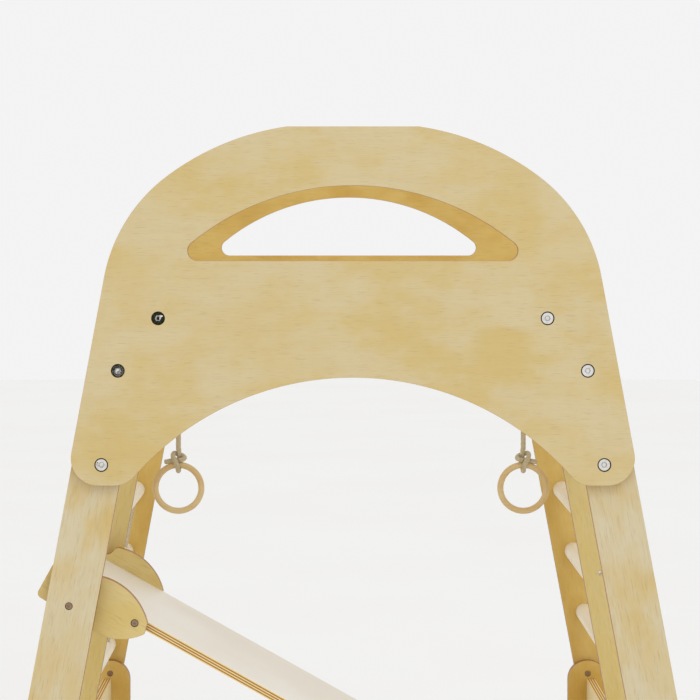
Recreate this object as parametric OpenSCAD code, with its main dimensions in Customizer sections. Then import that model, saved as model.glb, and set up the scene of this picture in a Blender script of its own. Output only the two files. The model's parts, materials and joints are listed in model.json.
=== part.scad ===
// Indoor climbing frame for toddlers: two arched plywood panels on six splayed legs, with short
// ladders in the rear bay, a slide hooked into the front bay and two wooden rings on ropes.
// X runs left to right, Y from the front panel to the rear one, Z up from the floor.

/* [Frame] */
// Height of the top edge above the floor
height = 1300; // [1250:10:1350]
// Distance from the front face to the rear face
depth = 900; // [880:10:1000]
// Distance from the middle of the frame to a leg's outer edge at the floor
foot_half = 547; // [540:1:552]
// Thickness of the frame's plywood
ply = 15; // [15:1:16]
// Width of a leg board
leg_w = 70; // [66:1:74]
// Lean of the legs from the vertical, in degrees
lean = 10.55; // [10.4:0.05:10.7]
// Distance from the front face to the middle legs
middle_y = 338; // [335:1:350]

/* [Arched panel] */
// Height of a panel from its top edge to its lobes
panel_h = 500; // [490:1:510]
// Half length of the flat top edge
flat_half = 92.3; // [88:0.1:96]
// Radius of the curve next to the flat
crown_r = 364; // [355:1:372]
// Radius of the shoulder
shoulder_r = 228; // [224:1:232]
// Radius of the concave underside
arch_r = 405; // [400:1:410]
// Depth of the panel in the middle, above the arch
waist = 349.5; // [345:0.5:355]
// Radius of the lobe's inner and outer corners
lobe_r = 38; // [34:1:40]
// Depth of the hand slot's highest and lowest points below the top edge
slot_span = [82, 187]; // [70:1:190]
// Radius of the slot's curved upper side
slot_r = 356; // [350:1:362]
// Radius of the slot's end corners
slot_corner_r = 14; // [10:1:16]

/* [Bars and rungs] */
// Diameter of the round bars and rungs
bar_d = 30; // [28:1:30]
// Ring bar, half spacing and depth below the top edge
ring_bar = [271, 267]; // [260:1:280]
// Upper tie bar, half spacing and depth below the top edge
upper_tie = [327, 340]; // [320:1:345]
// Lower tie bar, half spacing and depth below the top edge
lower_tie = [350, 471]; // [345:1:475]
// Heights of the rungs of the right ladder
right_rungs = [692, 582, 472]; // [450:1:700]
// Heights of the rungs of the left ladder
left_rungs = [692, 582, 414]; // [400:1:700]
// Height of the bar that the slide hooks over
hook_z = 630; // [625:1:635]
// Distance from the middle of the frame to the hook bar
hook_x = 397; // [394:1:400]

/* [Slide] */
// Slope of the slide, in degrees
slide_angle = 29.2; // [28.8:0.1:29.4]
// Thickness of the slide board
slide_t = 12; // [12:1:13]
// Width of the slide board
slide_w = 263; // [250:1:265]
// Thickness of an ear
ear_t = 12; // [12:1:13]
// Distance from the frame's front face to the front ear
ear_y = 35; // [34:1:36]
// Distance from the middle of the frame to the slide's lower tip
slide_tip = 775; // [760:1:780]

/* [Rings] */
// Radius of a ring along the middle of its section
ring_r = 36; // [34:1:38]
// Diameter of a ring's section
ring_d = 9.6; // [9:0.1:10]
// Distance from the ring bar down to the middle of a ring
ring_drop = 281; // [278:1:284]
// Distance from the frame's front face to the rings
ring_y = 385; // [380:1:390]
// Diameter of the ropes
rope_d = 8; // [7:1:8]

/* [Lower boards] */
// Distance from the middle of the frame to a post's middle
post_x = 428; // [426:1:430]
// Height of the posts
post_h = 387; // [380:1:390]
// Height of the side boards' top edge
side_top = 354; // [345:1:360]
// Gap under the side boards
side_gap = 40; // [30:1:60]

/* [Hidden] */
$fn = 96;

LEFT = -1;
RIGHT = 1;
ply_colour = [0.85, 0.77, 0.57];
dowel_colour = [0.90, 0.84, 0.70];
rope_colour = [0.72, 0.66, 0.52];
steel_colour = [0.62, 0.61, 0.58];
brass_colour = [0.80, 0.68, 0.42];
slide_colour = [0.90, 0.87, 0.80];

// Planes across the frame, measured from its middle
front_y = -depth / 2;
rear_y = depth / 2;
middle_leg_y = front_y + middle_y;
rear_leg_y = rear_y - 2 * ply;
rear_post_y = rear_leg_y - ply;
middle_post_y = middle_leg_y + ply;

// The box's middle is at X = 0, so the frame's own middle stands to the left of it
frame_x = (foot_half - slide_tip) / 2;

// Leg centreline at the floor, and how far it moves in for each millimetre of height
leg_foot_x = foot_half - leg_w / 2 / cos(lean);
leg_top_z = 1020;
bar_r = bar_d / 2;
rope_r = rope_d / 2;
ring_bar_z = height - ring_bar[1];

// Fasteners
bolt_head_r = 8.7;
bolt_head_t = 4;
bolt_r = 4;
bolt_recess = 0.8;
insert_r = 6;
insert_l = 25;
screw_head_r = 4.7;
screw_head_t = 3;
screw_r = 2.5;
screw_recess = 0.6;
screw_l = 50;
post_screw_l = 26;
socket_depth = 2;
slack = 0.1;

// Places of the post screws: distance from the middle and height
post_spots = [[428, 364], [446, 250]];
// Middle of a side board's thickness, a little outside the post's own middle
side_mid = post_x + 5.5;
// Heights of the screws that join a side board to its posts
side_screw_z = [120, 270];
// Screws through an ear into the slide board, along and above the hook bar
ear_spots = [[-32, 22], [92, 20]];
// Spare insert in the right middle leg
insert_spot = [386, 626];
// Distances of the three ladder ropes from the frame's front face
ladder_rope_y = [433, 627, 822];
// How far inward of the rungs' middles the ladder ropes run
ladder_rope_in = 3;
// How far a ladder rope reaches past the top rung's middle, in a blind hole
ladder_rope_top = 7;
ladder_knot_r = 8;
// Length of the cutter for a ladder rope's holes, past the lowest rung
ladder_hole_l = 400;
ear_screw_l = 40;
rear_ear_y = ear_y + ear_t + slide_w;
// The slide board lies just above the hook bar
board_low = bar_r + 1;
board_high = board_low + slide_t;
board_start = -44;
mouth_r = bar_r + 0.3;

// Knot under the turns round a ring bar
top_knot_z = -33;
top_knot_r = 9;

// Route of a ring's rope below its bar: sideways offset and distance down
rope_route = [
    [0, 40], [0, 52], [0.5, 64], [1, 76], [1, 88], [1.5, 100], [1.5, 112], [1.5, 124],
    [1, 136], [1, 148], [0.5, 160], [0.5, 172], [0, 184], [0, 196], [0, 208], [0, 222]
];
rope_sides = 10;

function leg_x(z) = leg_foot_x - z * tan(lean);

function arc(c, r, from, to, n = 24) =
    [for (i = [0 : n]) let (a = from + (to - from) * i / n) c + r * [cos(a), sin(a)]];

function unit(v) = v / norm(v);

// Points of the arc of radius r that rounds the corner at b between a and c
function corner(a, b, c, r, n = 10) =
    let (
        u = unit(a - b),
        w = unit(c - b),
        half = acos(u * w) / 2,
        m = b + unit(u + w) * r / sin(half),
        s = b + u * r / tan(half) - m,
        e = b + w * r / tan(half) - m,
        from = atan2(s.y, s.x),
        sweep = (atan2(e.y, e.x) - from + 540) % 360 - 180
    )
    arc(m, r, from, from + sweep, n);

function flat2(p) = [p[0], p[1]];

// A polygon whose corners are [x, y, radius]
function rounded(p) =
    let (n = len(p))
    [for (i = [0 : n - 1]) each p[i][2] == 0
        ? [flat2(p[i])]
        : corner(flat2(p[(i + n - 1) % n]), flat2(p[i]), flat2(p[(i + 1) % n]), p[i][2])];

// Both halves of an outline whose right half runs from top to bottom, turned into heights
function both_halves(half) =
    let (n = len(half))
    concat(
        [for (p = half) [p.x, height - p.y]],
        [for (i = [n - 1 : -1 : 0]) if (half[i].x > 0.01) [-half[i].x, height - half[i].y]]
    );

// Right half of the arched panel: distance from its middle and depth below its top edge
function panel_half() =
    let (
        flat_angle = 8.2,
        crown_angle = 36.9,
        side_angle = 79.45,
        c1 = [flat_half - crown_r * sin(flat_angle), crown_r * cos(flat_angle)],
        crown = arc(c1, crown_r, flat_angle - 90, crown_angle - 90, 16),
        c2 = crown[16] - shoulder_r * [sin(crown_angle), -cos(crown_angle)],
        shoulder = arc(c2, shoulder_r, crown_angle - 90, side_angle - 90, 24),
        s = shoulder[24],
        // A lobe is as far from the side and the bottom as its corner radius
        lobe_y = panel_h - lobe_r,
        lobe_x = s.x + (lobe_y - s.y) / tan(side_angle) - lobe_r / sin(side_angle),
        arch_y = waist + arch_r,
        inner_x = sqrt(pow(arch_r + lobe_r, 2) - pow(arch_y - lobe_y, 2)),
        meet = atan2(arch_y - lobe_y, inner_x)
    )
    concat(
        crown,
        shoulder,
        arc([lobe_x, lobe_y], lobe_r, side_angle - 90, 90, 20),
        arc([inner_x, lobe_y], lobe_r, 90, 180 - meet, 12),
        arc([0, arch_y], arch_r, -meet, -90, 40)
    );

function slot_half() =
    let (
        c = [0, slot_span[0] + slot_r],
        end_y = slot_span[1] - slot_corner_r,
        end_x = sqrt(pow(slot_r - slot_corner_r, 2) - pow(c.y - end_y, 2)),
        meet = atan2(c.y - end_y, end_x)
    )
    concat(
        arc(c, slot_r, -90, -meet, 32),
        arc([end_x, end_y], slot_corner_r, -meet, 90, 16)
    );

// A board with its outline in the XZ plane, from y to y + t
module board(points, y, t) {
    translate([0, y + t, 0])
        rotate([90, 0, 0])
            linear_extrude(t)
                polygon(points);
}

// A round bar along Y from y0 to y1
module rod(x, z, y0, y1, r) {
    translate([x, y0, z])
        rotate([-90, 0, 0])
            cylinder(h = y1 - y0, r = r);
}

// Puts what is drawn about the frame's own middle into the object's box
module in_frame() {
    translate([frame_x, 0, 0])
        children();
}

// A bolt or screw along Y with its face at y; way is 1 if it points to the rear, -1 if to the front
module fastener(x, z, y, way, head_r, head_t, r, l, recess) {
    translate([x, y, z])
        rotate([-90 * way, 0, 0])
            translate([0, 0, recess]) {
                difference() {
                    cylinder(h = head_t, r = head_r);
                    translate([0, 0, -1])
                        cylinder(h = socket_depth + 1, r = head_r * 0.42, $fn = 6);
                }
                translate([0, 0, head_t])
                    cylinder(h = l - head_t - recess, r = r);
            }
}

// The hole for such a fastener, a little wider and deeper
module fastener_hole(x, z, y, way, head_r, head_t, r, l, recess) {
    translate([x, y, z])
        rotate([-90 * way, 0, 0]) {
            translate([0, 0, -1])
                cylinder(h = head_t + recess + 1 + slack, r = head_r + 0.6);
            cylinder(h = l + 0.5, r = r + slack);
        }
}

module screw(x, z, y, way, l = screw_l) {
    fastener(x, z, y, way, screw_head_r, screw_head_t, screw_r, l, screw_recess);
}

module screw_hole(x, z, y, way, l = screw_l) {
    fastener_hole(x, z, y, way, screw_head_r, screw_head_t, screw_r, l, screw_recess);
}

// The bolts of one panel; way is 1 for the front panel and -1 for the rear one
function bolt_spots() = [
    for (side = [LEFT, RIGHT]) for (spot = [ring_bar, upper_tie, lower_tie])
        [side * spot[0], height - spot[1]]
];
function bolt_length(spot) = abs(spot.x) == ring_bar[0] ? ply + insert_l : 2 * ply + insert_l;

module bolts(way) {
    for (spot = bolt_spots())
        fastener(
            spot.x, spot.y, -way * depth / 2, way,
            bolt_head_r, bolt_head_t, bolt_r, bolt_length(spot), bolt_recess
        );
}

module bolt_holes(way) {
    for (spot = bolt_spots())
        fastener_hole(
            spot.x, spot.y, -way * depth / 2, way,
            bolt_head_r, bolt_head_t, bolt_r, bolt_length(spot), bolt_recess
        );
}

module arch_panel(y, way) {
    color(ply_colour)
        in_frame()
            difference() {
                board(both_halves(panel_half()), y, ply);
                board(both_halves(slot_half()), y - 1, ply + 2);
                bolt_holes(way);
            }
}

// Outline of a leg: flat on the floor, leaning in, with a round top
function leg_outline(side) =
    let (foot = leg_w / 2 / cos(lean), top = leg_x(leg_top_z), w = leg_w / 2)
    rounded([
        [side * (leg_foot_x - foot), 0, 0],
        [side * (leg_foot_x + foot), 0, 0],
        [side * (top + w * cos(lean)), leg_top_z + w * sin(lean), w - 0.1],
        [side * (top - w * cos(lean)), leg_top_z - w * sin(lean), w - 0.1]
    ]);

module leg_board(side, y) {
    board(leg_outline(side), y, ply);
}

function rungs(side) = side == LEFT ? left_rungs : right_rungs;

module rung_screw_holes(side, y, way) {
    for (z = rungs(side))
        screw_hole(side * leg_x(z), z, y, way);
}

module leg_front(side) {
    color(ply_colour)
        in_frame()
            difference() {
                leg_board(side, front_y + ply);
                bolt_holes(1);
                if (side == LEFT)
                    screw_hole(-hook_x, hook_z, front_y + ply, 1);
            }
}

module through_middle_leg(spot, r) {
    rod(spot.x, spot.y, middle_leg_y - 1, middle_post_y + 1, r);
}

module leg_middle(side) {
    color(ply_colour)
        in_frame()
            difference() {
                leg_board(side, middle_leg_y);
                for (tie = [upper_tie, lower_tie])
                    through_middle_leg([side * tie[0], height - tie[1]], bar_r + slack);
                rung_screw_holes(side, middle_leg_y, 1);
                if (side == LEFT)
                    screw_hole(-hook_x, hook_z, middle_post_y, -1);
                else
                    through_middle_leg(insert_spot, screw_head_r + slack);
                for (spot = post_spots)
                    screw_hole(side * spot.x, spot.y, middle_post_y + ply, -1, post_screw_l);
            }
}

module leg_rear(side) {
    color(ply_colour)
        in_frame()
            difference() {
                leg_board(side, rear_leg_y);
                bolt_holes(-1);
                rung_screw_holes(side, rear_leg_y + ply, -1);
                for (spot = post_spots)
                    screw_hole(side * spot.x, spot.y, rear_post_y, 1, post_screw_l);
            }
}

// Bar bored at both ends for the threaded inserts
module bored_bar(spot, side, y0, y1) {
    x = side * spot[0];
    z = height - spot[1];
    color(dowel_colour)
        in_frame()
            difference() {
                rod(x, z, y0, y1, bar_r);
                rod(x, z, y0 - 1, y0 + insert_l + 0.5, insert_r + slack);
                rod(x, z, y1 - insert_l - 0.5, y1 + 1, insert_r + slack);
            }
}

module ring_bar_piece(side) {
    bored_bar(ring_bar, side, front_y + ply, rear_y - ply);
}

module tie_bar(spot, side) {
    bored_bar(spot, side, front_y + 2 * ply, rear_leg_y);
}

module insert(x, z, y) {
    difference() {
        rod(x, z, y, y + insert_l, insert_r);
        rod(x, z, y - 1, y + insert_l + 1, bolt_r + slack / 2);
    }
}

module bar_inserts() {
    color(brass_colour)
        in_frame()
            for (spot = bolt_spots()) {
                skin = abs(spot.x) == ring_bar[0] ? ply : 2 * ply;
                insert(spot.x, spot.y, front_y + skin);
                insert(spot.x, spot.y, rear_y - skin - insert_l);
            }
}

module panel_bolts(way) {
    color(steel_colour)
        in_frame()
            bolts(way);
}

module hook_bar() {
    color(dowel_colour)
        in_frame()
            difference() {
                rod(-hook_x, hook_z, front_y + 2 * ply, middle_leg_y, bar_r);
                screw_hole(-hook_x, hook_z, front_y + ply, 1);
                screw_hole(-hook_x, hook_z, middle_post_y, -1);
            }
}

module hook_bar_screws() {
    color(steel_colour)
        in_frame() {
            screw(-hook_x, hook_z, front_y + ply, 1);
            screw(-hook_x, hook_z, middle_post_y, -1);
        }
}

// Spare threaded insert in the right middle leg, where a hook bar can be fitted instead
module leg_insert() {
    color(brass_colour)
        in_frame()
            difference() {
                rod(insert_spot.x, insert_spot.y, middle_leg_y, middle_post_y, screw_head_r);
                through_middle_leg(insert_spot, screw_r);
            }
}

// Tools along the left ladder's slope, from the middle of its top rung
module along_ladder(y) {
    translate([-leg_x(left_rungs[0]), front_y + y, left_rungs[0]])
        rotate([0, lean, 0])
            children();
}

module rung(side, z) {
    color(dowel_colour)
        in_frame()
            difference() {
                rod(side * leg_x(z), z, middle_post_y, rear_leg_y, bar_r);
                screw_hole(side * leg_x(z), z, middle_leg_y, 1);
                screw_hole(side * leg_x(z), z, rear_leg_y + ply, -1);
                if (side == LEFT)
                    for (y = ladder_rope_y)
                        along_ladder(y)
                            translate([ladder_rope_in, 0, -ladder_hole_l])
                                cylinder(h = ladder_hole_l + ladder_rope_top + 1, r = rope_r + 0.3);
            }
}

module rung_screws() {
    color(steel_colour)
        in_frame()
            for (side = [LEFT, RIGHT])
                for (z = rungs(side)) {
                    screw(side * leg_x(z), z, middle_leg_y, 1);
                    screw(side * leg_x(z), z, rear_leg_y + ply, -1);
                }
}

// Rope from a blind hole in the left ladder's top rung through the others, with a knot below
module ladder_rope(y) {
    run = (left_rungs[0] - left_rungs[2]) / cos(lean);
    reach = bar_r + ladder_knot_r - 1;
    color(rope_colour)
        in_frame()
            along_ladder(y)
                translate([ladder_rope_in, 0, -run - reach]) {
                    cylinder(h = run + reach + ladder_rope_top, r = rope_r);
                    sphere(r = ladder_knot_r, $fn = 48);
                }
}

function post_outline(side) =
    let (x = side * post_x, w = leg_w / 2, round_top = w - 0.1)
    rounded([[x - w, 0, 0], [x + w, 0, 0], [x + w, post_h, round_top], [x - w, post_h, round_top]]);

module post(side, y) {
    way = y == rear_post_y ? 1 : -1;
    face = way == 1 ? y : y + ply;
    color(ply_colour)
        in_frame()
            difference() {
                board(post_outline(side), y, ply);
                for (spot = post_spots)
                    screw_hole(side * spot.x, spot.y, face, way, post_screw_l);
                for (z = side_screw_z)
                    screw_hole(side * side_mid, z, face + way * ply, -way);
            }
}

module side_board(side) {
    color(ply_colour)
        in_frame()
            difference() {
                translate([side * side_mid - ply / 2, middle_post_y + ply, side_gap])
                    cube([ply, rear_post_y - middle_post_y - ply, side_top - side_gap]);
                for (z = side_screw_z) {
                    screw_hole(side * side_mid, z, middle_post_y, 1);
                    screw_hole(side * side_mid, z, rear_leg_y, -1);
                }
            }
}

module post_screws() {
    color(steel_colour)
        in_frame()
            for (side = [LEFT, RIGHT])
                for (spot = post_spots) {
                    screw(side * spot.x, spot.y, rear_post_y, 1, post_screw_l);
                    screw(side * spot.x, spot.y, middle_post_y + ply, -1, post_screw_l);
                }
}

module side_board_screws() {
    color(steel_colour)
        in_frame()
            for (side = [LEFT, RIGHT])
                for (z = side_screw_z) {
                    screw(side * side_mid, z, middle_post_y, 1);
                    screw(side * side_mid, z, rear_leg_y, -1);
                }
}

// Puts the slide's own axes, down the slope and square to it, on the hook bar
module on_slope() {
    in_frame()
        translate([-hook_x, 0, hook_z])
            rotate([0, slide_angle, 0])
                children();
}

// Ear outline from the fin's end, over its top, round the hook and back along the bottom
function ear_points() =
    let (
        ear_low_r = 76,
        fin = arc([42, -33], 90, 43, 100, 20),
        foot = arc([50, ear_low_r - 18.5], ear_low_r, -90, -36, 12)
    )
    concat(
        fin,
        corner(fin[20], [13, 52.5], [8, 31.5], 7, 6),
        corner([13, 52.5], [8, 31.5], [-49, 46], 12, 6),
        corner([8, 31.5], [-49, 46], [-48.5, -13], 10, 6),
        corner([-49, 46], [-48.5, -13], [50, -18.5], 7, 6),
        foot
    );

module slide_ear(y) {
    color(ply_colour)
        on_slope()
            difference() {
                board(ear_points(), front_y + y, ear_t);
                rod(0, 0, front_y + y - 1, front_y + y + ear_t + 1, mouth_r);
                translate([-mouth_r, front_y + y - 1, -60])
                    cube([2 * mouth_r, ear_t + 2, 60]);
                ear_screw_holes();
            }
}

module ear_screw_holes() {
    for (spot = ear_spots) {
        screw_hole(spot[0], spot[1], front_y + ear_y, 1, ear_screw_l);
        screw_hole(spot[0], spot[1], front_y + rear_ear_y + ear_t, -1, ear_screw_l);
    }
}

module slide_ear_screws() {
    color(steel_colour)
        on_slope()
            for (spot = ear_spots) {
                screw(spot[0], spot[1], front_y + ear_y, 1, ear_screw_l);
                screw(spot[0], spot[1], front_y + rear_ear_y + ear_t, -1, ear_screw_l);
            }
}

// Side view of the slide board about the frame's middle: its foot is cut level with the floor
function slide_outline() =
    let (
        c = cos(slide_angle),
        s = sin(slide_angle),
        start = [-hook_x, hook_z] + board_start * [c, -s],
        low = start + board_low * [s, c],
        high = start + board_high * [s, c]
    )
    [
        low,
        high,
        [slide_tip, high.y - (slide_tip - high.x) * tan(slide_angle)],
        [slide_tip, 0],
        [low.x + low.y / tan(slide_angle), 0]
    ];

module slide_board() {
    color(slide_colour)
        difference() {
            in_frame()
                board(slide_outline(), front_y + ear_y + ear_t, slide_w);
            on_slope()
                ear_screw_holes();
        }
}

// A ring's own axes: the middle of its bar, in the rings' plane
module at_ring_bar(side) {
    in_frame()
        translate([side * ring_bar[0], front_y + ring_y, ring_bar_z])
            children();
}

// Two turns of rope round the bar
module ring_hitch(side) {
    turn_r = bar_r + rope_r + 0.4;
    color(rope_colour)
        at_ring_bar(side)
            for (y = [-rope_r - 0.2, rope_r + 0.2])
                translate([0, y, 0])
                    rotate([90, 0, 0])
                        rotate_extrude()
                            translate([turn_r, 0])
                                circle(r = rope_r, $fn = 32);
}

// The knot that gathers the turns, about which the rope swings along the bar
module ring_top_knot(side) {
    color(rope_colour)
        at_ring_bar(side)
            translate([0, 0, top_knot_z])
                sphere(r = top_knot_r, $fn = 48);
}

// Tube along a route in the XZ plane, one ring of points at each place on it
module rope_tube(route, r) {
    n = len(route);
    points = [for (i = [0 : n - 1])
        let (
            ahead = route[min(i + 1, n - 1)] - route[max(i - 1, 0)],
            across = unit([ahead.y, -ahead.x])
        )
        for (k = [0 : rope_sides - 1])
            let (a = 360 * k / rope_sides)
            [
                route[i].x + across.x * r * cos(a),
                r * sin(a),
                -route[i].y - across.y * r * cos(a)
            ]];
    sides = [for (i = [0 : n - 2]) for (k = [0 : rope_sides - 1])
        let (m = (k + 1) % rope_sides)
        [i * rope_sides + k, i * rope_sides + m, (i + 1) * rope_sides + m, (i + 1) * rope_sides + k]];
    first = [for (k = [rope_sides - 1 : -1 : 0]) k];
    last = [for (k = [0 : rope_sides - 1]) (n - 1) * rope_sides + k];
    polyhedron(points, concat([first], sides, [last]));
}

module ring_rope(side) {
    color(rope_colour)
        at_ring_bar(side)
            rope_tube([for (p = rope_route) [-side * p.x, p.y]], rope_r);
}

// Knot above the ring, and the turn of rope that holds the ring
module ring_knot(side) {
    knot_r = 10;
    color(rope_colour)
        at_ring_bar(side) {
            translate([0, 0, -ring_drop + ring_r + ring_d / 2 + knot_r + 1])
                sphere(r = knot_r, $fn = 48);
            translate([0, 0, -ring_drop + ring_r])
                rotate([0, 90, 0])
                    rotate_extrude()
                        translate([ring_d / 2 + rope_r + 0.5, 0])
                            circle(r = rope_r, $fn = 32);
        }
}

module ring(side) {
    color(dowel_colour)
        at_ring_bar(side)
            translate([0, 0, -ring_drop])
                rotate([90, 0, 0])
                    rotate_extrude()
                        translate([ring_r, 0])
                            circle(r = ring_d / 2, $fn = 32);
}

arch_panel(front_y, 1);  // arch_panel_front
arch_panel(rear_y - ply, -1);  // arch_panel_rear
leg_front(LEFT);  // leg_front_left
leg_front(RIGHT);  // leg_front_right
leg_middle(LEFT);  // leg_middle_left
leg_middle(RIGHT);  // leg_middle_right
leg_rear(LEFT);  // leg_rear_left
leg_rear(RIGHT);  // leg_rear_right
ring_bar_piece(LEFT);  // ring_bar_left
ring_bar_piece(RIGHT);  // ring_bar_right
tie_bar(upper_tie, LEFT);  // upper_tie_bar_left
tie_bar(upper_tie, RIGHT);  // upper_tie_bar_right
tie_bar(lower_tie, LEFT);  // lower_tie_bar_left
tie_bar(lower_tie, RIGHT);  // lower_tie_bar_right
bar_inserts();
panel_bolts(1);  // panel_bolts_front
panel_bolts(-1);  // panel_bolts_rear
hook_bar();
hook_bar_screws();
leg_insert();
rung(LEFT, left_rungs[0]);  // rung_left_1
rung(LEFT, left_rungs[1]);  // rung_left_2
rung(LEFT, left_rungs[2]);  // rung_left_3
rung(RIGHT, right_rungs[0]);  // rung_right_1
rung(RIGHT, right_rungs[1]);  // rung_right_2
rung(RIGHT, right_rungs[2]);  // rung_right_3
rung_screws();
ladder_rope(ladder_rope_y[0]);  // ladder_rope_1
ladder_rope(ladder_rope_y[1]);  // ladder_rope_2
ladder_rope(ladder_rope_y[2]);  // ladder_rope_3
post(LEFT, middle_post_y);  // post_middle_left
post(RIGHT, middle_post_y);  // post_middle_right
post(LEFT, rear_post_y);  // post_rear_left
post(RIGHT, rear_post_y);  // post_rear_right
side_board(LEFT);  // side_board_left
side_board(RIGHT);  // side_board_right
post_screws();
side_board_screws();
slide_board();
slide_ear(ear_y);  // slide_ear_front
slide_ear(rear_ear_y);  // slide_ear_rear
slide_ear_screws();
ring_hitch(LEFT);  // ring_hitch_left
ring_hitch(RIGHT);  // ring_hitch_right
ring_rope(LEFT);  // ring_rope_left
ring_rope(RIGHT);  // ring_rope_right
ring_top_knot(LEFT);  // ring_top_knot_left
ring_top_knot(RIGHT);  // ring_top_knot_right
ring_knot(LEFT);  // ring_knot_left
ring_knot(RIGHT);  // ring_knot_right
ring(LEFT);  // ring_left
ring(RIGHT);  // ring_right
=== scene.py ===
import json
import math

import bmesh
import bpy
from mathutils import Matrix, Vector

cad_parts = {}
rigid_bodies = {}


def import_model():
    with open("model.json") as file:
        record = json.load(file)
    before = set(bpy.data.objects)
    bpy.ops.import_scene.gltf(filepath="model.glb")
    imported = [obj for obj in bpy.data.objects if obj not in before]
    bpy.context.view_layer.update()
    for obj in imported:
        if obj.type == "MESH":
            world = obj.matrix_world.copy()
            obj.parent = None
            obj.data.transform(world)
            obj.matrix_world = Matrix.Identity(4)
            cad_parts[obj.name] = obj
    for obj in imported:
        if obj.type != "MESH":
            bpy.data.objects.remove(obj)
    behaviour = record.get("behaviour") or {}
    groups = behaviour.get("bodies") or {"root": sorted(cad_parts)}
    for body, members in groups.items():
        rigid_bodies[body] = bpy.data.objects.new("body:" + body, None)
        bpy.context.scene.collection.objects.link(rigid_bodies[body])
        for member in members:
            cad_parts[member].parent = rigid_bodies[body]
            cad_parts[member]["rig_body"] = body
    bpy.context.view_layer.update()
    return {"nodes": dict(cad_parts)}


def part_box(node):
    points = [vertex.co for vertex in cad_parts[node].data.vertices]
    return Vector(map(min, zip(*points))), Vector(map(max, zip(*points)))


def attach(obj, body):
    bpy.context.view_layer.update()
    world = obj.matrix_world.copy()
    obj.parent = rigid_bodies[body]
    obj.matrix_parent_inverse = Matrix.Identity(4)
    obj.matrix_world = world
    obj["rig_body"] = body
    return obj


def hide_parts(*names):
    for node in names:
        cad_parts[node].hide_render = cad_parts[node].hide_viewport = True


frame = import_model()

NODES = frame["nodes"]
SIDES = {"left": -1, "right": 1}
LADDER_ROPES = (1, 2, 3)
RUNGS = (1, 2, 3)
MM = 0.001
X, Y, Z = 0, 1, 2

# Lean of the legs, slope of the slide, and thickness of the frame's boards, the slide and its ears
LEAN = math.radians(10.55)
SLOPE = math.radians(29.2)
PLY = 0.015
SLIDE_PLY = 12 * MM
EAR_PLY = 12 * MM


# ---------------------------------------------------------------- places taken from the frame

panel_low, panel_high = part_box("arch_panel_front")
MIDDLE_X = (panel_low.x + panel_high.x) / 2
FRONT_Y = panel_low.y
TOP_Z = panel_high.z


def middle(node):
    """The middle of a node's box."""
    low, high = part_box(node)
    return (low + high) / 2


# ---------------------------------------------------------------- camera

# The camera looks level, from straight in front of the panels and a little below their top edge
CAMERA_BACK = 2.962
CAMERA_DROP = 0.155
CAMERA_SIDE = -0.024
LENS_MM = 109.5
SENSOR_MM = 36.0
SHIFT = (0.0206, -0.1602)

camera_data = bpy.data.cameras.new("camera")
camera_data.lens = LENS_MM
camera_data.sensor_width = SENSOR_MM
camera_data.shift_x, camera_data.shift_y = SHIFT
camera = bpy.data.objects.new("camera", camera_data)
camera.location = (MIDDLE_X + CAMERA_SIDE, FRONT_Y - CAMERA_BACK, TOP_Z - CAMERA_DROP)
camera.rotation_euler = (math.radians(90), 0, 0)
bpy.context.scene.collection.objects.link(camera)
bpy.context.scene.camera = camera
bpy.context.scene.view_settings.view_transform = "Standard"


# ---------------------------------------------------------------- node helpers

def new_material(name):
    """A new material, its node tree and its shader."""
    material = bpy.data.materials.new(name)
    material.use_nodes = True
    tree = material.node_tree
    return material, tree, tree.nodes["Principled BSDF"]


def add(tree, kind, **values):
    """A shader node; a value is set on its property or on the input of that name."""
    made = tree.nodes.new(kind)
    for key, value in values.items():
        if hasattr(made, key):
            setattr(made, key, value)
        else:
            made.inputs[key.replace("_", " ")].default_value = value
    return made


def math_node(tree, operation, a, b=None):
    """Output of a math node; a number is set on its socket and a socket is linked to it."""
    made = add(tree, "ShaderNodeMath", operation=operation)
    for socket, value in zip(made.inputs, (a, b)):
        if value is None:
            continue
        if isinstance(value, (int, float)):
            socket.default_value = value
        else:
            tree.links.new(value, socket)
    return made.outputs[0]


def rgb(red, green, blue):
    """Linear colour of an sRGB triple of 0 to 255."""
    def linear(c):
        c /= 255
        return c / 12.92 if c <= 0.04045 else ((c + 0.055) / 1.055) ** 2.4
    return (linear(red), linear(green), linear(blue), 1.0)


def mix(tree, factor, a, b):
    """Colour a at a factor of 0, b at 1."""
    made = add(tree, "ShaderNodeMix", data_type="RGBA", blend_type="MIX")
    for socket, value in ((made.inputs[0], factor), (made.inputs[6], a), (made.inputs[7], b)):
        if isinstance(value, (int, float, tuple)):
            socket.default_value = value
        else:
            tree.links.new(value, socket)
    return made.outputs[2]


def spread(tree, value, low, high, to_low=0.0, to_high=1.0, smooth=True):
    """Maps low to high onto to_low to to_high, and stops at both ends."""
    made = add(tree, "ShaderNodeMapRange")
    made.interpolation_type = "SMOOTHSTEP" if smooth else "LINEAR"
    tree.links.new(value, made.inputs[0])
    for socket, number in zip(made.inputs[1:5], (low, high, to_low, to_high)):
        socket.default_value = number
    return made.outputs[0]


def scaled(tree, vector, scale, turn=(0, 0, 0)):
    """The vector scaled and turned: a small scale along an axis draws patterns out along it."""
    made = add(tree, "ShaderNodeMapping")
    made.inputs["Scale"].default_value = scale
    made.inputs["Rotation"].default_value = turn
    tree.links.new(vector, made.inputs["Vector"])
    return made.outputs[0]


def noise(tree, vector, scale, detail=3.0, rough=0.55):
    """Noise with about scale spots to the metre."""
    made = add(tree, "ShaderNodeTexNoise", Scale=scale, Detail=detail, Roughness=rough)
    tree.links.new(vector, made.inputs["Vector"])
    return made.outputs[0]


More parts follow.
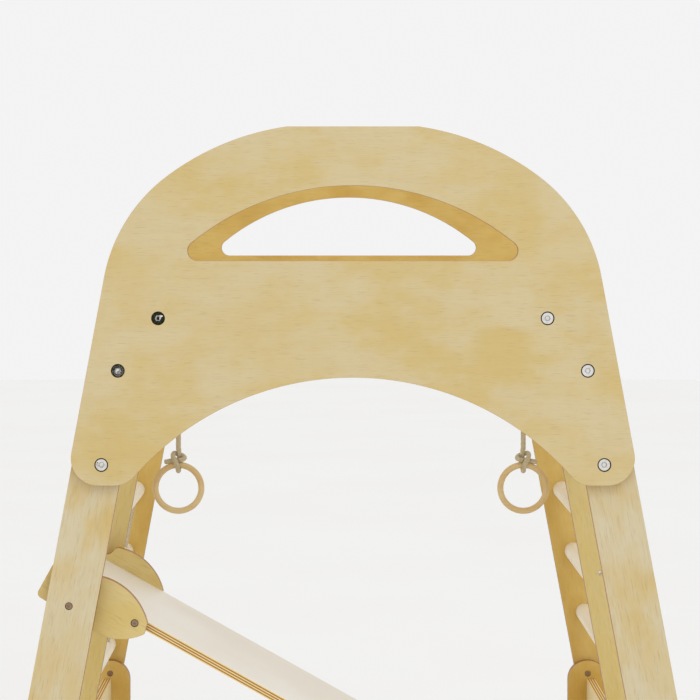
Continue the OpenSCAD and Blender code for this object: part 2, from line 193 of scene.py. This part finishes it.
def bump(tree, height, strength, distance, under=None):
    """Relief of a height, on top of the relief under it."""
    made = add(tree, "ShaderNodeBump", Strength=strength, Distance=distance)
    tree.links.new(height, made.inputs["Height"])
    if under is not None:
        tree.links.new(under, made.inputs["Normal"])
    return made.outputs[0]


# ---------------------------------------------------------------- materials

# Light and dark plies of the edges: brown, or pale as freshly sawn
BROWNED = (rgb(196, 146, 86), rgb(122, 76, 40))
SAWN = (rgb(246, 218, 152), rgb(166, 114, 54))
GLUE = rgb(96, 62, 30)
EDGE_FIBRE = rgb(196, 158, 98)
FACE_FIBRE = rgb(170, 135, 80)
FACE_PORE = rgb(150, 113, 62)
PAINT_FIBRE = rgb(190, 175, 145)


def stretched(tree, coords, grain, amount):
    """Coordinates in which a pattern is drawn out along axis grain."""
    along = [1.0, 1.0, 1.0]
    along["XYZ".index(grain)] = amount
    return scaled(tree, coords, tuple(along))


def veneer(tree, coords, grain, tones, cloud, streak, pore):
    """Face veneer: broad warm blotches, fine mottling, fibres and open pores."""
    pale, warm = tones
    blotch = noise(tree, stretched(tree, coords, grain, 0.6), 17, 3.0, 0.55)
    mottle = noise(tree, stretched(tree, coords, grain, 0.5), 70, 2.0, 0.5)
    face = mix(tree, spread(tree, blotch, 0.38, 0.66), pale, warm)
    face = mix(tree, spread(tree, cloud, 0.35, 0.7, 0.0, 0.5), face, pale)
    face = mix(tree, spread(tree, mottle, 0.4, 0.7, 0.0, 0.22), face, warm)
    face = mix(tree, spread(tree, streak, 0.35, 0.75, 0.0, 0.07), face, FACE_FIBRE)
    return mix(tree, spread(tree, pore, 0.56, 0.72, 0.0, 0.24), face, FACE_PORE)


def painted(tree, tones, cloud, streak):
    """Painted face: two close tones in soft clouds, with the fibres just showing."""
    face = mix(tree, spread(tree, cloud, 0.35, 0.65), *tones)
    return mix(tree, spread(tree, streak, 0.4, 0.8, 0.0, 0.05), face, PAINT_FIBRE)


def ply_edge(tree, height, fibres, streak, plies_per_m, tones):
    """Edge of the board: light and dark plies in turn, with a thin dark line of glue between them.

    Gives the colour, and a value that is 1 on the dark plies.
    """
    stack = math_node(tree, "MULTIPLY", height, plies_per_m)
    wander = spread(tree, noise(tree, fibres, 60, 2.0), 0.0, 1.0, -0.08, 0.08, smooth=False)
    stack = math_node(tree, "ADD", stack, wander)
    pair = math_node(tree, "FRACT", math_node(tree, "MULTIPLY", stack, 0.5))
    dark_ply = math_node(tree, "GREATER_THAN", pair, 0.5)
    within = math_node(tree, "FRACT", stack)
    from_middle = math_node(tree, "ABSOLUTE", math_node(tree, "SUBTRACT", within, 0.5))
    edge = mix(tree, dark_ply, *tones)
    edge = mix(tree, spread(tree, from_middle, 0.43, 0.5, 0.0, 0.6), edge, GLUE)
    return mix(tree, spread(tree, streak, 0.3, 0.75, 0.0, 0.2), edge, EDGE_FIBRE), dark_ply


def plywood(name, pale, warm, grain, thick, low, thickness, plies=11, turn=0.0, seed=0.0,
            smooth_face=None, back=None, edges=BROWNED):
    """Plywood whose grain runs along axis grain and whose plies are stacked along axis thick from low.

    turn tilts both about Y, for boards that lean. seed shifts the pattern, so that boards differ.
    smooth_face is a pair of colours for a painted face, and back is a pair of tones for the face that
    looks along thick; on the rear boards the other faces keep the darker tones as painted shade.
    """
    material, tree, shader = new_material(name)
    link = tree.links.new
    place = add(tree, "ShaderNodeTexCoord")
    upright = scaled(tree, place.outputs["Object"], (1, 1, 1), (0, turn, 0))
    facing = scaled(tree, place.outputs["Normal"], (1, 1, 1), (0, turn, 0))
    shifted = add(tree, "ShaderNodeVectorMath", operation="ADD")
    link(upright, shifted.inputs[0])
    shifted.inputs[1].default_value = (seed, seed * 0.7, seed * 1.3)
    coords = shifted.outputs[0]
    fibres = stretched(tree, coords, grain, 0.05)
    cloud = noise(tree, coords, 5, 2.0, 0.5)
    streak = noise(tree, fibres, 210, 5.0, 0.65)
    pore = noise(tree, fibres, 900, 2.0, 0.5)

    normal_parts = add(tree, "ShaderNodeSeparateXYZ")
    link(facing, normal_parts.inputs[0])
    outward = normal_parts.outputs[thick]
    # On the rear boards the main tones are painted shade on the faces toward the front; the faces that
    # look along thick get the back tones.
    if back is not None:
        is_back = math_node(tree, "GREATER_THAN", outward, 0)
        pale = mix(tree, is_back, pale, back[0])
        warm = mix(tree, is_back, warm, back[1])
    if smooth_face is None:
        face = veneer(tree, coords, grain, (pale, warm), cloud, streak, pore)
        shine = spread(tree, streak, 0.3, 0.8, 0.42, 0.56, smooth=False)
    else:
        face = painted(tree, smooth_face, cloud, streak)
        shine = spread(tree, cloud, 0.3, 0.7, 0.32, 0.4, smooth=False)

    parts = add(tree, "ShaderNodeSeparateXYZ")
    link(upright, parts.inputs[0])
    height = math_node(tree, "SUBTRACT", parts.outputs[thick], low)
    edge, dark_ply = ply_edge(tree, height, fibres, streak, plies / thickness, edges)
    is_face = spread(tree, math_node(tree, "ABSOLUTE", outward), 0.72, 0.86)
    link(mix(tree, is_face, edge, face), shader.inputs["Base Color"])
    link(shine, shader.inputs["Roughness"])
    shader.inputs["Specular IOR Level"].default_value = 0.35
    relief = bump(tree, pore, 0.15, 0.0003, bump(tree, streak, 0.12, 0.0004))
    link(bump(tree, dark_ply, 0.1, 0.0002, relief), shader.inputs["Normal"])
    return material


def dowel(name, pale, warm, grain="Y"):
    """Sanded hardwood turned along axis grain."""
    material, tree, shader = new_material(name)
    place = add(tree, "ShaderNodeTexCoord")
    coords = stretched(tree, place.outputs["Object"], grain, 0.04)
    streak = noise(tree, coords, 160, 5.0, 0.6)
    fleck = noise(tree, coords, 620, 2.0, 0.5)
    broad = noise(tree, coords, 28, 2.0, 0.5)
    colour = mix(tree, spread(tree, broad, 0.35, 0.65), pale, warm)
    colour = mix(tree, spread(tree, streak, 0.4, 0.8, 0.0, 0.22), colour, rgb(190, 158, 108))
    colour = mix(tree, spread(tree, fleck, 0.62, 0.8, 0.0, 0.2), colour, rgb(160, 124, 80))
    tree.links.new(colour, shader.inputs["Base Color"])
    tree.links.new(spread(tree, streak, 0.3, 0.8, 0.45, 0.6, smooth=False), shader.inputs["Roughness"])
    shader.inputs["Specular IOR Level"].default_value = 0.35
    tree.links.new(bump(tree, streak, 0.15, 0.0003), shader.inputs["Normal"])
    return material


def rope_material(name):
    """Khaki cotton rope with fine fibres and faded patches."""
    material, tree, shader = new_material(name)
    place = add(tree, "ShaderNodeTexCoord")
    fibre = noise(tree, scaled(tree, place.outputs["Object"], (1, 1, 0.5)), 900, 3.0, 0.6)
    patch = noise(tree, place.outputs["Object"], 90, 2.0, 0.5)
    colour = mix(tree, spread(tree, fibre, 0.3, 0.7), rgb(178, 163, 130), rgb(214, 201, 168))
    colour = mix(tree, spread(tree, patch, 0.35, 0.7, 0.0, 0.35), colour, rgb(190, 174, 140))
    tree.links.new(colour, shader.inputs["Base Color"])
    shader.inputs["Roughness"].default_value = 0.85
    shader.inputs["Specular IOR Level"].default_value = 0.2
    shader.inputs["Sheen Weight"].default_value = 0.25
    shader.inputs["Sheen Roughness"].default_value = 0.5
    tree.links.new(bump(tree, fibre, 0.45, 0.0005), shader.inputs["Normal"])
    return material


def metal(name, tone, low, high):
    """Plated metal with fine marks and small changes of shine, of roughness low to high."""
    material, tree, shader = new_material(name)
    place = add(tree, "ShaderNodeTexCoord")
    marks = noise(tree, place.outputs["Object"], 900, 3.0, 0.6)
    patch = noise(tree, place.outputs["Object"], 220, 2.0, 0.5)
    darker = tuple(c * 0.82 for c in tone[:3]) + (1.0,)
    tree.links.new(mix(tree, spread(tree, patch, 0.3, 0.7), tone, darker), shader.inputs["Base Color"])
    shader.inputs["Metallic"].default_value = 1.0
    tree.links.new(spread(tree, marks, 0.3, 0.7, low, high, smooth=False), shader.inputs["Roughness"])
    tree.links.new(bump(tree, marks, 0.05, 0.0001), shader.inputs["Normal"])
    return material


# Pale and warm tones of the veneer. The middle and rear tones are painted shade: darker and yellower
# than the front ones, for the boards that sit deeper in the frame.
FRONT_TONES = (rgb(215, 198, 155), rgb(212, 187, 124))
LEG_TONES = (rgb(216, 203, 169), rgb(211, 184, 120))
MIDDLE_SHADED_TONES = (rgb(219, 197, 134), rgb(215, 188, 112))
REAR_SHADED_TONES = (rgb(217, 184, 104), rgb(205, 165, 78))
# Side boards: lighter tones as painted light on their inner faces, which sit in the frame's shade.
SIDE_LIT_TONES = (rgb(232, 214, 168), rgb(226, 204, 150))

POLISHED = metal("polished_steel", rgb(238, 236, 232), 0.03, 0.08)
STEEL = metal("screw_steel", rgb(168, 142, 118), 0.22, 0.4)
BRASS = metal("insert_brass", rgb(226, 208, 166), 0.3, 0.45)
ROPE = rope_material("khaki_rope")
RUNG = dowel("beech_rungs", rgb(244, 236, 216), rgb(237, 223, 194))
BAR = dowel("beech_bars", rgb(226, 212, 182), rgb(216, 196, 158))
RING = dowel("ring_wood", rgb(226, 201, 150), rgb(218, 189, 134), grain="X")


def finish_node(name, material):
    """Gives a CAD node its material."""
    data = NODES[name].data
    data.materials.clear()
    data.materials.append(material)


# ---------------------------------------------------------------- ropes

def new_piece(name, mesh, material, body, node):
    """Puts a mesh in the scene as a visual piece that rides on a body in place of its node."""
    piece = bpy.data.objects.new(name, mesh)
    bpy.context.scene.collection.objects.link(piece)
    mesh.materials.clear()
    mesh.materials.append(material)
    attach(piece, body)
    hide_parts(node)
    return piece


PATH_STEP = 1.2 * MM


def smooth_path(points):
    """Catmull-Rom curve through the points, cut into pieces of about PATH_STEP."""
    points = [Vector(p) for p in points]
    ends = [2 * points[0] - points[1], *points, 2 * points[-1] - points[-2]]
    fine = []
    for a, b, c, d in zip(ends, ends[1:], ends[2:], ends[3:]):
        count = max(2, round((c - b).length / PATH_STEP))
        for i in range(count):
            t = i / count
            fine.append(0.5 * (
                2 * b + (c - a) * t + (2 * a - 5 * b + 4 * c - d) * t * t
                + (3 * b - a - 3 * c + d) * t ** 3
            ))
    return [*fine, points[-1]]


# A rope has STRANDS strands each way, which go once round it in LAY diameters and stand out by
# BRAID_DEPTH of its radius. Its mesh has ROUND points round it, and its cut ends taper by END_TAPER.
STRANDS = 4
LAY = 4.0
BRAID_DEPTH = 0.045
ROUND = 32
END_TAPER = (0.72, 0.93)


def braid(angle, twist):
    """How far a braided rope of unit radius reaches: strands wind round it both ways."""
    one_way = math.cos(STRANDS * (angle - twist))
    other_way = math.cos(STRANDS * (angle + twist))
    return 1 - BRAID_DEPTH + BRAID_DEPTH * max(one_way, other_way)


def rope_rings(made, line, diameter):
    """Rings of points round a line, each turned on from the last by the lay of the rope."""
    side = (line[1] - line[0]).normalized().orthogonal().normalized()
    run, last, rings = 0.0, line[0], []
    for i, place in enumerate(line):
        ahead = (line[min(i + 1, len(line) - 1)] - line[max(i - 1, 0)]).normalized()
        side = (side - ahead * side.dot(ahead)).normalized()
        up = ahead.cross(side)
        run += (place - last).length
        last = place
        twist = 2 * math.pi * run / (LAY * diameter)
        from_end = min(i, len(line) - 1 - i)
        taper = END_TAPER[from_end] if from_end < len(END_TAPER) else 1.0
        ring = []
        for k in range(ROUND):
            a = 2 * math.pi * k / ROUND
            reach = diameter / 2 * taper * braid(a, twist)
            ring.append(made.verts.new(place + reach * (math.cos(a) * side + math.sin(a) * up)))
        rings.append(ring)
    return rings


def rope_mesh(name, paths, diameter):
    """Braided ropes along the paths, as one closed mesh each."""
    mesh = bpy.data.meshes.new(name)
    made = bmesh.new()
    for path in paths:
        rings = rope_rings(made, smooth_path(path), diameter)
        for low, high in zip(rings, rings[1:]):
            for k in range(ROUND):
                n = (k + 1) % ROUND
                made.faces.new((low[k], low[n], high[n], high[k]))
        made.faces.new(rings[0][::-1])
        made.faces.new(rings[-1])
    bmesh.ops.recalc_face_normals(made, faces=made.faces)
    for face in made.faces:
        face.smooth = len(face.verts) == 4
    made.to_mesh(mesh)
    made.free()
    return mesh


def turn(centre, axis, radius, start, sweep, rise=0.0, count=18):
    """Points of a turn about an axis through centre, by sweep degrees, which rises along the axis."""
    axis = Vector(axis).normalized()
    side = axis.orthogonal().normalized()
    up = axis.cross(side)
    points = []
    for i in range(count + 1):
        t = i / count
        a = math.radians(start + sweep * t)
        out = math.cos(a) * side + math.sin(a) * up
        points.append(centre + radius * out + axis * (rise * (t - 0.5)))
    return points


ROPE_D = 8 * MM
RING_R = 36 * MM
HITCH_R = 19.2 * MM

# The turns of rope in a knot or hitch press each other a little thinner
TOP_KNOT_D = 7.4 * MM
KNOT_D = 7.6 * MM
HITCH_D = 7.8 * MM

# Route of a ring's rope below its bar, in millimetres: sideways offset and distance down
ROPE_ROUTE = (
    (0, 40), (0, 52), (0.5, 64), (1, 76), (1, 88), (1.5, 100), (1.5, 112), (1.5, 124),
    (1, 136), (1, 148), (0.5, 160), (0.5, 172), (0, 184), (0, 196), (0, 208), (0, 222),
)

# Knot on a ring: down behind it, under its top, up across the front, over, and out as a tail. Each
# point is outward, up and toward the front from the middle of the ring's top, in millimetres.
RING_KNOT = (
    (-0.5, 27, 0), (-1, 18, -1), (-1, 9, -6), (-0.5, 0, -9.4), (0, -9.4, 0), (1, -1, 9.2),
    (4, 7, 9.6), (8, 14, 6.5), (7, 18.5, -0.5), (0.5, 16.5, -7), (-6.5, 14, -5), (-9.5, 11, 0.5),
    (-5, 8.5, 4), (3, 8, 1), (12, 6.5, 0.5), (22, 4.5, 0),
)


def top_knot_paths(top):
    """Two tilted turns and the rope that goes down through them, for the knot under the bar."""
    return [
        turn(top + Vector((0, 0, 3.4 * MM)), (0.15, 0.1, 1), 4.9 * MM, 20, 330, 2 * MM),
        turn(top + Vector((0, 0, -3.6 * MM)), (-0.2, 0.15, 1), 4.9 * MM, 190, 330, 2 * MM),
        [top + Vector((0, 0, 6.5 * MM)), top, top + Vector((0, 0, -9 * MM))],
    ]


def rope_piece(node, paths, diameter, body):
    """Braided rope in place of one CAD node."""
    mesh = rope_mesh(f"{node}_strands", paths, diameter)
    return new_piece(f"{node}_strands", mesh, ROPE, body, node)


def ring_rope(side_name):
    """The rope between the knot under the bar and the knot on the ring, with both knots."""
    side = SIDES[side_name]
    bar = middle(f"ring_bar_{side_name}")
    ring = middle(f"ring_{side_name}")
    bar = Vector((bar.x, ring.y, bar.z))
    body = f"ring_{side_name}"
    route = [bar + Vector((-side * x * MM, 0, -down * MM)) for x, down in ROPE_ROUTE]
    rope = rope_piece(f"ring_rope_{side_name}", [route], ROPE_D, body)

    top_knot_node = f"ring_top_knot_{side_name}"
    top_knot = rope_piece(top_knot_node, top_knot_paths(middle(top_knot_node)), TOP_KNOT_D, body)

    hold = ring + Vector((0, 0, RING_R))
    knot = [hold + Vector((side * out, -front, up)) * MM for out, up, front in RING_KNOT]
    low_knot = rope_piece(f"ring_knot_{side_name}", [knot], KNOT_D, body)


def ring_hitch(side_name):
    """Two turns of rope round the ring bar, and the rope that goes down from them into the knot."""
    centre = middle(f"ring_hitch_{side_name}")
    knot = middle(f"ring_top_knot_{side_name}")
    paths = [
        turn(centre + Vector((0, y * MM, 0)), (0, 1, 0), HITCH_R, start, 359, 0, 40)
        for y, start in ((-4.1, 30), (4.1, 75))
    ]
    below = centre + Vector((0, 0, -HITCH_R + 2 * MM))
    paths.append([below, below.lerp(knot, 0.5), knot + Vector((0, 0, 2 * MM))])
    rope_piece(f"ring_hitch_{side_name}", paths, HITCH_D, f"hitch_{side_name}")


LADDER_KNOT_R = 8 * MM


def ladder_rope(number):
    """Rope stretched through the left ladder's rungs, with an overhand knot below the lowest."""
    node = f"ladder_rope_{number}"
    low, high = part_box(node)
    y = (low.y + high.y) / 2
    along = Vector((math.sin(LEAN), 0, math.cos(LEAN)))
    foot = Vector((low.x + LADDER_KNOT_R, y, low.z + LADDER_KNOT_R))
    top = foot + along * ((high.z - foot.z) / along.z - 1 * MM)
    paths = [
        [foot - along * 6 * MM, *(foot.lerp(top, part / 4) for part in range(5))],
        turn(foot - along * 2.6 * MM, along + Vector((0.2, 0.1, 0)), 4.4 * MM, 0, 340, 3 * MM),
        turn(foot + along * 2.8 * MM, along - Vector((0.2, -0.1, 0)), 3.9 * MM, 150, 340, 3 * MM),
    ]
    rope_piece(node, paths, KNOT_D, "frame")


for side_name in SIDES:
    ring_rope(side_name)
    ring_hitch(side_name)
for number in LADDER_ROPES:
    ladder_rope(number)


# ---------------------------------------------------------------- boards

# Points of a CAD mesh that are closer than this are one point
WELD = 0.00001


def solids(node):
    """Lowest and highest corner of each separate solid in a node."""
    made = bmesh.new()
    made.from_mesh(NODES[node].data)
    bmesh.ops.remove_doubles(made, verts=made.verts, dist=WELD)
    left = set(made.verts)
    boxes = []
    while left:
        group, edge = set(), {left.pop()}
        while edge:
            group |= edge
            edge = {e.other_vert(v) for v in edge for e in v.link_edges} - group
        left -= group
        boxes.append([Vector(pick(v.co[i] for v in group) for i in range(3)) for pick in (min, max)])
    made.free()
    return boxes


PANEL_BOLTS = ("panel_bolts_front", "panel_bolts_rear")
SUNK_SCREWS = ("hook_bar_screws", "post_screws", "slide_ear_screws")
FASTENERS = PANEL_BOLTS + SUNK_SCREWS

# Middle and radius of each fastener's head
BORES = [((low + high) / 2, (high.x - low.x) / 2) for node in FASTENERS for low, high in solids(node)]
BORE_MARGIN = 1.3 * MM
# Dark brown for the walls round the fasteners' heads: painted shade in the narrow gap.
BORE_SHADE = dowel("bore_painted_shade", rgb(92, 62, 38), rgb(70, 46, 28))


def from_axis(face, centre):
    """Distance from a face to the axis of the fastener at centre."""
    return math.hypot(face.center.x - centre.x, face.center.z - centre.z)


def shade_bores(mesh):
    """The walls round the fasteners' heads are dark brown, as painted shade in the gap round each
    head.
    """
    mesh.materials.append(BORE_SHADE)
    for face in mesh.polygons:
        is_wall = abs(face.normal.y) <= 0.75
        if is_wall and any(from_axis(face, centre) < r + BORE_MARGIN for centre, r in BORES):
            face.material_index = 1


SOCKET_R = 6 * MM
SOCKET = metal("socket_sides", rgb(205, 200, 192), 0.2, 0.35)
# Near-black rim of the bolt heads: painted shade in the gap round each head.
RIM_SHADE = metal("rim_painted_shade", rgb(56, 38, 26), 0.35, 0.5)


def shade_rims(mesh):
    """The eased rim of each polished bolt head is near black, as painted shade in the gap round the
    head, and the sides of its socket are satin.
    """
    mesh.materials.append(RIM_SHADE)
    mesh.materials.append(SOCKET)
    for face in mesh.polygons:
        if abs(face.normal.y) < 0.97:
            out = min(from_axis(face, centre) for centre, _ in BORES)
            face.material_index = 1 if out > SOCKET_R else 2


# How far the edges are eased
BOARD_EASE = 1.1 * MM
SLIDE_EASE = 0.4 * MM
BOLT_EASE = 0.7 * MM
SCREW_EASE = 0.3 * MM


def eased(node, material, width=BOARD_EASE):
    """A board or a set of fasteners with eased edges, made from the CAD node that it stands for."""
    source = NODES[node]
    mesh = source.data.copy()
    made = bmesh.new()
    made.from_mesh(mesh)
    bmesh.ops.remove_doubles(made, verts=made.verts, dist=WELD)
    bmesh.ops.dissolve_limit(made, angle_limit=math.radians(0.5), verts=made.verts, edges=made.edges)
    made.to_mesh(mesh)
    made.free()
    shape = bpy.data.objects.new(f"{node}_shape", mesh)
    bpy.context.scene.collection.objects.link(shape)
    ease = shape.modifiers.new("ease", "BEVEL")
    ease.width = width
    ease.segments = 3
    ease.limit_method = "ANGLE"
    ease.angle_limit = math.radians(45)
    ease.harden_normals = True
    for polygon in mesh.polygons:
        polygon.use_smooth = True
    mesh.set_sharp_from_angle(angle=math.radians(40))
    deps = bpy.context.evaluated_depsgraph_get()
    final = bpy.data.meshes.new_from_object(shape.evaluated_get(deps))
    bpy.data.objects.remove(shape)
    piece = new_piece(f"{node}_board", final, material, source["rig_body"], node)
    if node not in FASTENERS:
        shade_bores(final)
    return piece


def flat_board(node, tones, grain="X", turn=0.0, seed=0.0, back=None):
    """An upright board of the frame's plywood, whose plies are stacked from front to rear."""
    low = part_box(node)[0].y
    eased(node, plywood(f"{node}_ply", *tones, grain, Y, low, PLY, turn=turn, seed=seed, back=back))


def side_board(node, seed):
    """A board along the depth of the frame, whose plies are stacked from left to right."""
    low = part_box(node)[0].x
    # The side tones are lighter as painted light.
    eased(node, plywood(f"{node}_ply", *SIDE_LIT_TONES, "Y", X, low, PLY, plies=7, seed=seed, edges=SAWN))


def slide_ear(node):
    """A plate beside the slide, with its grain along the slope."""
    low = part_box(node)[0].y
    # The ears take the middle tones, darker as painted shade.
    eased(node, plywood(
        f"{node}_ply", *MIDDLE_SHADED_TONES, "X", Y, low, EAR_PLY, plies=9, turn=-SLOPE, seed=low * 7
    ))


def slide_board():
    """The slide, with painted faces and its plies stacked square to its slope, above the hook bar."""
    hook = middle("hook_bar")
    hook_up = hook.x * math.sin(SLOPE) + hook.z * math.cos(SLOPE)
    eased("slide_board", plywood(
        "slide_board_ply", *FRONT_TONES, "X", Z, hook_up + 16 * MM, SLIDE_PLY, plies=7, turn=-SLOPE,
        seed=31, smooth_face=(rgb(240, 235, 224), rgb(235, 228, 214)), edges=SAWN,
    ), SLIDE_EASE)


flat_board("arch_panel_front", FRONT_TONES, seed=0.0)
# The rear panel's faces toward the front are darker as painted shade; its back face has the front
# panel's tones.
flat_board("arch_panel_rear", REAR_SHADED_TONES, seed=3.1, back=FRONT_TONES)
for side_name, side in SIDES.items():
    lean = side * LEAN
    flat_board(f"leg_front_{side_name}", LEG_TONES, "Z", lean, 5 + side)
    # Middle legs, rear legs and posts are darker as painted shade; the rear legs' back faces have the
    # legs' own tones.
    flat_board(f"leg_middle_{side_name}", MIDDLE_SHADED_TONES, "Z", lean, 9 + side)
    flat_board(f"leg_rear_{side_name}", REAR_SHADED_TONES, "Z", lean, 13 + side, back=LEG_TONES)
    flat_board(f"post_middle_{side_name}", REAR_SHADED_TONES, "Z", 0, 17 + side)
    flat_board(f"post_rear_{side_name}", REAR_SHADED_TONES, "Z", 0, 21 + side)
    side_board(f"side_board_{side_name}", 25 + side)
slide_ear("slide_ear_front")
slide_ear("slide_ear_rear")
slide_board()


# ---------------------------------------------------------------- bars, rungs, rings and fasteners

for side_name in SIDES:
    for number in RUNGS:
        finish_node(f"rung_{side_name}_{number}", RUNG)
    for bar in ("ring_bar", "upper_tie_bar", "lower_tie_bar"):
        finish_node(f"{bar}_{side_name}", BAR)
    finish_node(f"ring_{side_name}", RING)
finish_node("hook_bar", BAR)
for name in PANEL_BOLTS:
    shade_rims(eased(name, POLISHED, BOLT_EASE).data)
for name in SUNK_SCREWS:
    eased(name, STEEL, SCREW_EASE)
for name in ("rung_screws", "side_board_screws"):
    finish_node(name, STEEL)
for name in ("bar_inserts", "leg_insert"):
    finish_node(name, BRASS)


# ---------------------------------------------------------------- floor, world and lights

FLOOR_R = 14.0


def floor():
    """A near-white round floor, for the renders only."""
    mesh = bpy.data.meshes.new("floor")
    made = bmesh.new()
    bmesh.ops.create_circle(made, cap_ends=True, segments=96, radius=FLOOR_R)
    made.to_mesh(mesh)
    made.free()
    material, tree, shader = new_material("floor_paint")
    place = add(tree, "ShaderNodeTexCoord")
    soft = noise(tree, place.outputs["Object"], 1.2, 2.0, 0.5)
    colour = mix(tree, spread(tree, soft, 0.3, 0.7), rgb(253, 253, 252), rgb(252, 251, 250))
    tree.links.new(colour, shader.inputs["Base Color"])
    shader.inputs["Roughness"].default_value = 0.9
    mesh.materials.append(material)
    ground = bpy.data.objects.new("floor", mesh)
    bpy.context.scene.collection.objects.link(ground)


WORLD_STRENGTH = 0.9
DARK_CORNER = rgb(46, 50, 38)


def world():
    """A white studio with one dark stretch behind the camera, which the polished bolts pick up."""
    made = bpy.data.worlds.new("studio")
    made.use_nodes = True
    tree = made.node_tree
    background = tree.nodes["Background"]
    place = add(tree, "ShaderNodeTexCoord")
    parts = add(tree, "ShaderNodeSeparateXYZ")
    tree.links.new(place.outputs["Generated"], parts.inputs[0])
    across, away, up = parts.outputs[:3]
    left = spread(tree, across, -0.01, -0.05)
    not_far_left = spread(tree, across, -0.45, -0.25)
    behind = spread(tree, away, -0.6, -0.9)
    low = spread(tree, up, 0.25, 0.1)
    dark = math_node(tree, "MULTIPLY", math_node(tree, "MULTIPLY", left, not_far_left),
                     math_node(tree, "MULTIPLY", behind, low))
    colour = mix(tree, dark, rgb(255, 255, 255), DARK_CORNER)
    tree.links.new(colour, background.inputs["Color"])
    background.inputs["Strength"].default_value = WORLD_STRENGTH
    bpy.context.scene.world = made


def area_light(name, place, target, size, power):
    """A round lamp that points at the target."""
    light = bpy.data.lights.new(name, "AREA")
    light.shape = "DISK"
    light.size = size
    light.energy = power
    lamp = bpy.data.objects.new(name, light)
    lamp.location = place
    lamp.rotation_euler = (Vector(target) - Vector(place)).to_track_quat("-Z", "Y").to_euler()
    bpy.context.scene.collection.objects.link(lamp)


floor()
world()
panel_middle = (MIDDLE_X, FRONT_Y, 0.9)
area_light("key", (MIDDLE_X + 1.2, FRONT_Y - 1.9, 2.6), panel_middle, size=1.6, power=8)
area_light("fill", (MIDDLE_X - 1.8, FRONT_Y - 1.6, 1.8), panel_middle, size=1.8, power=3)
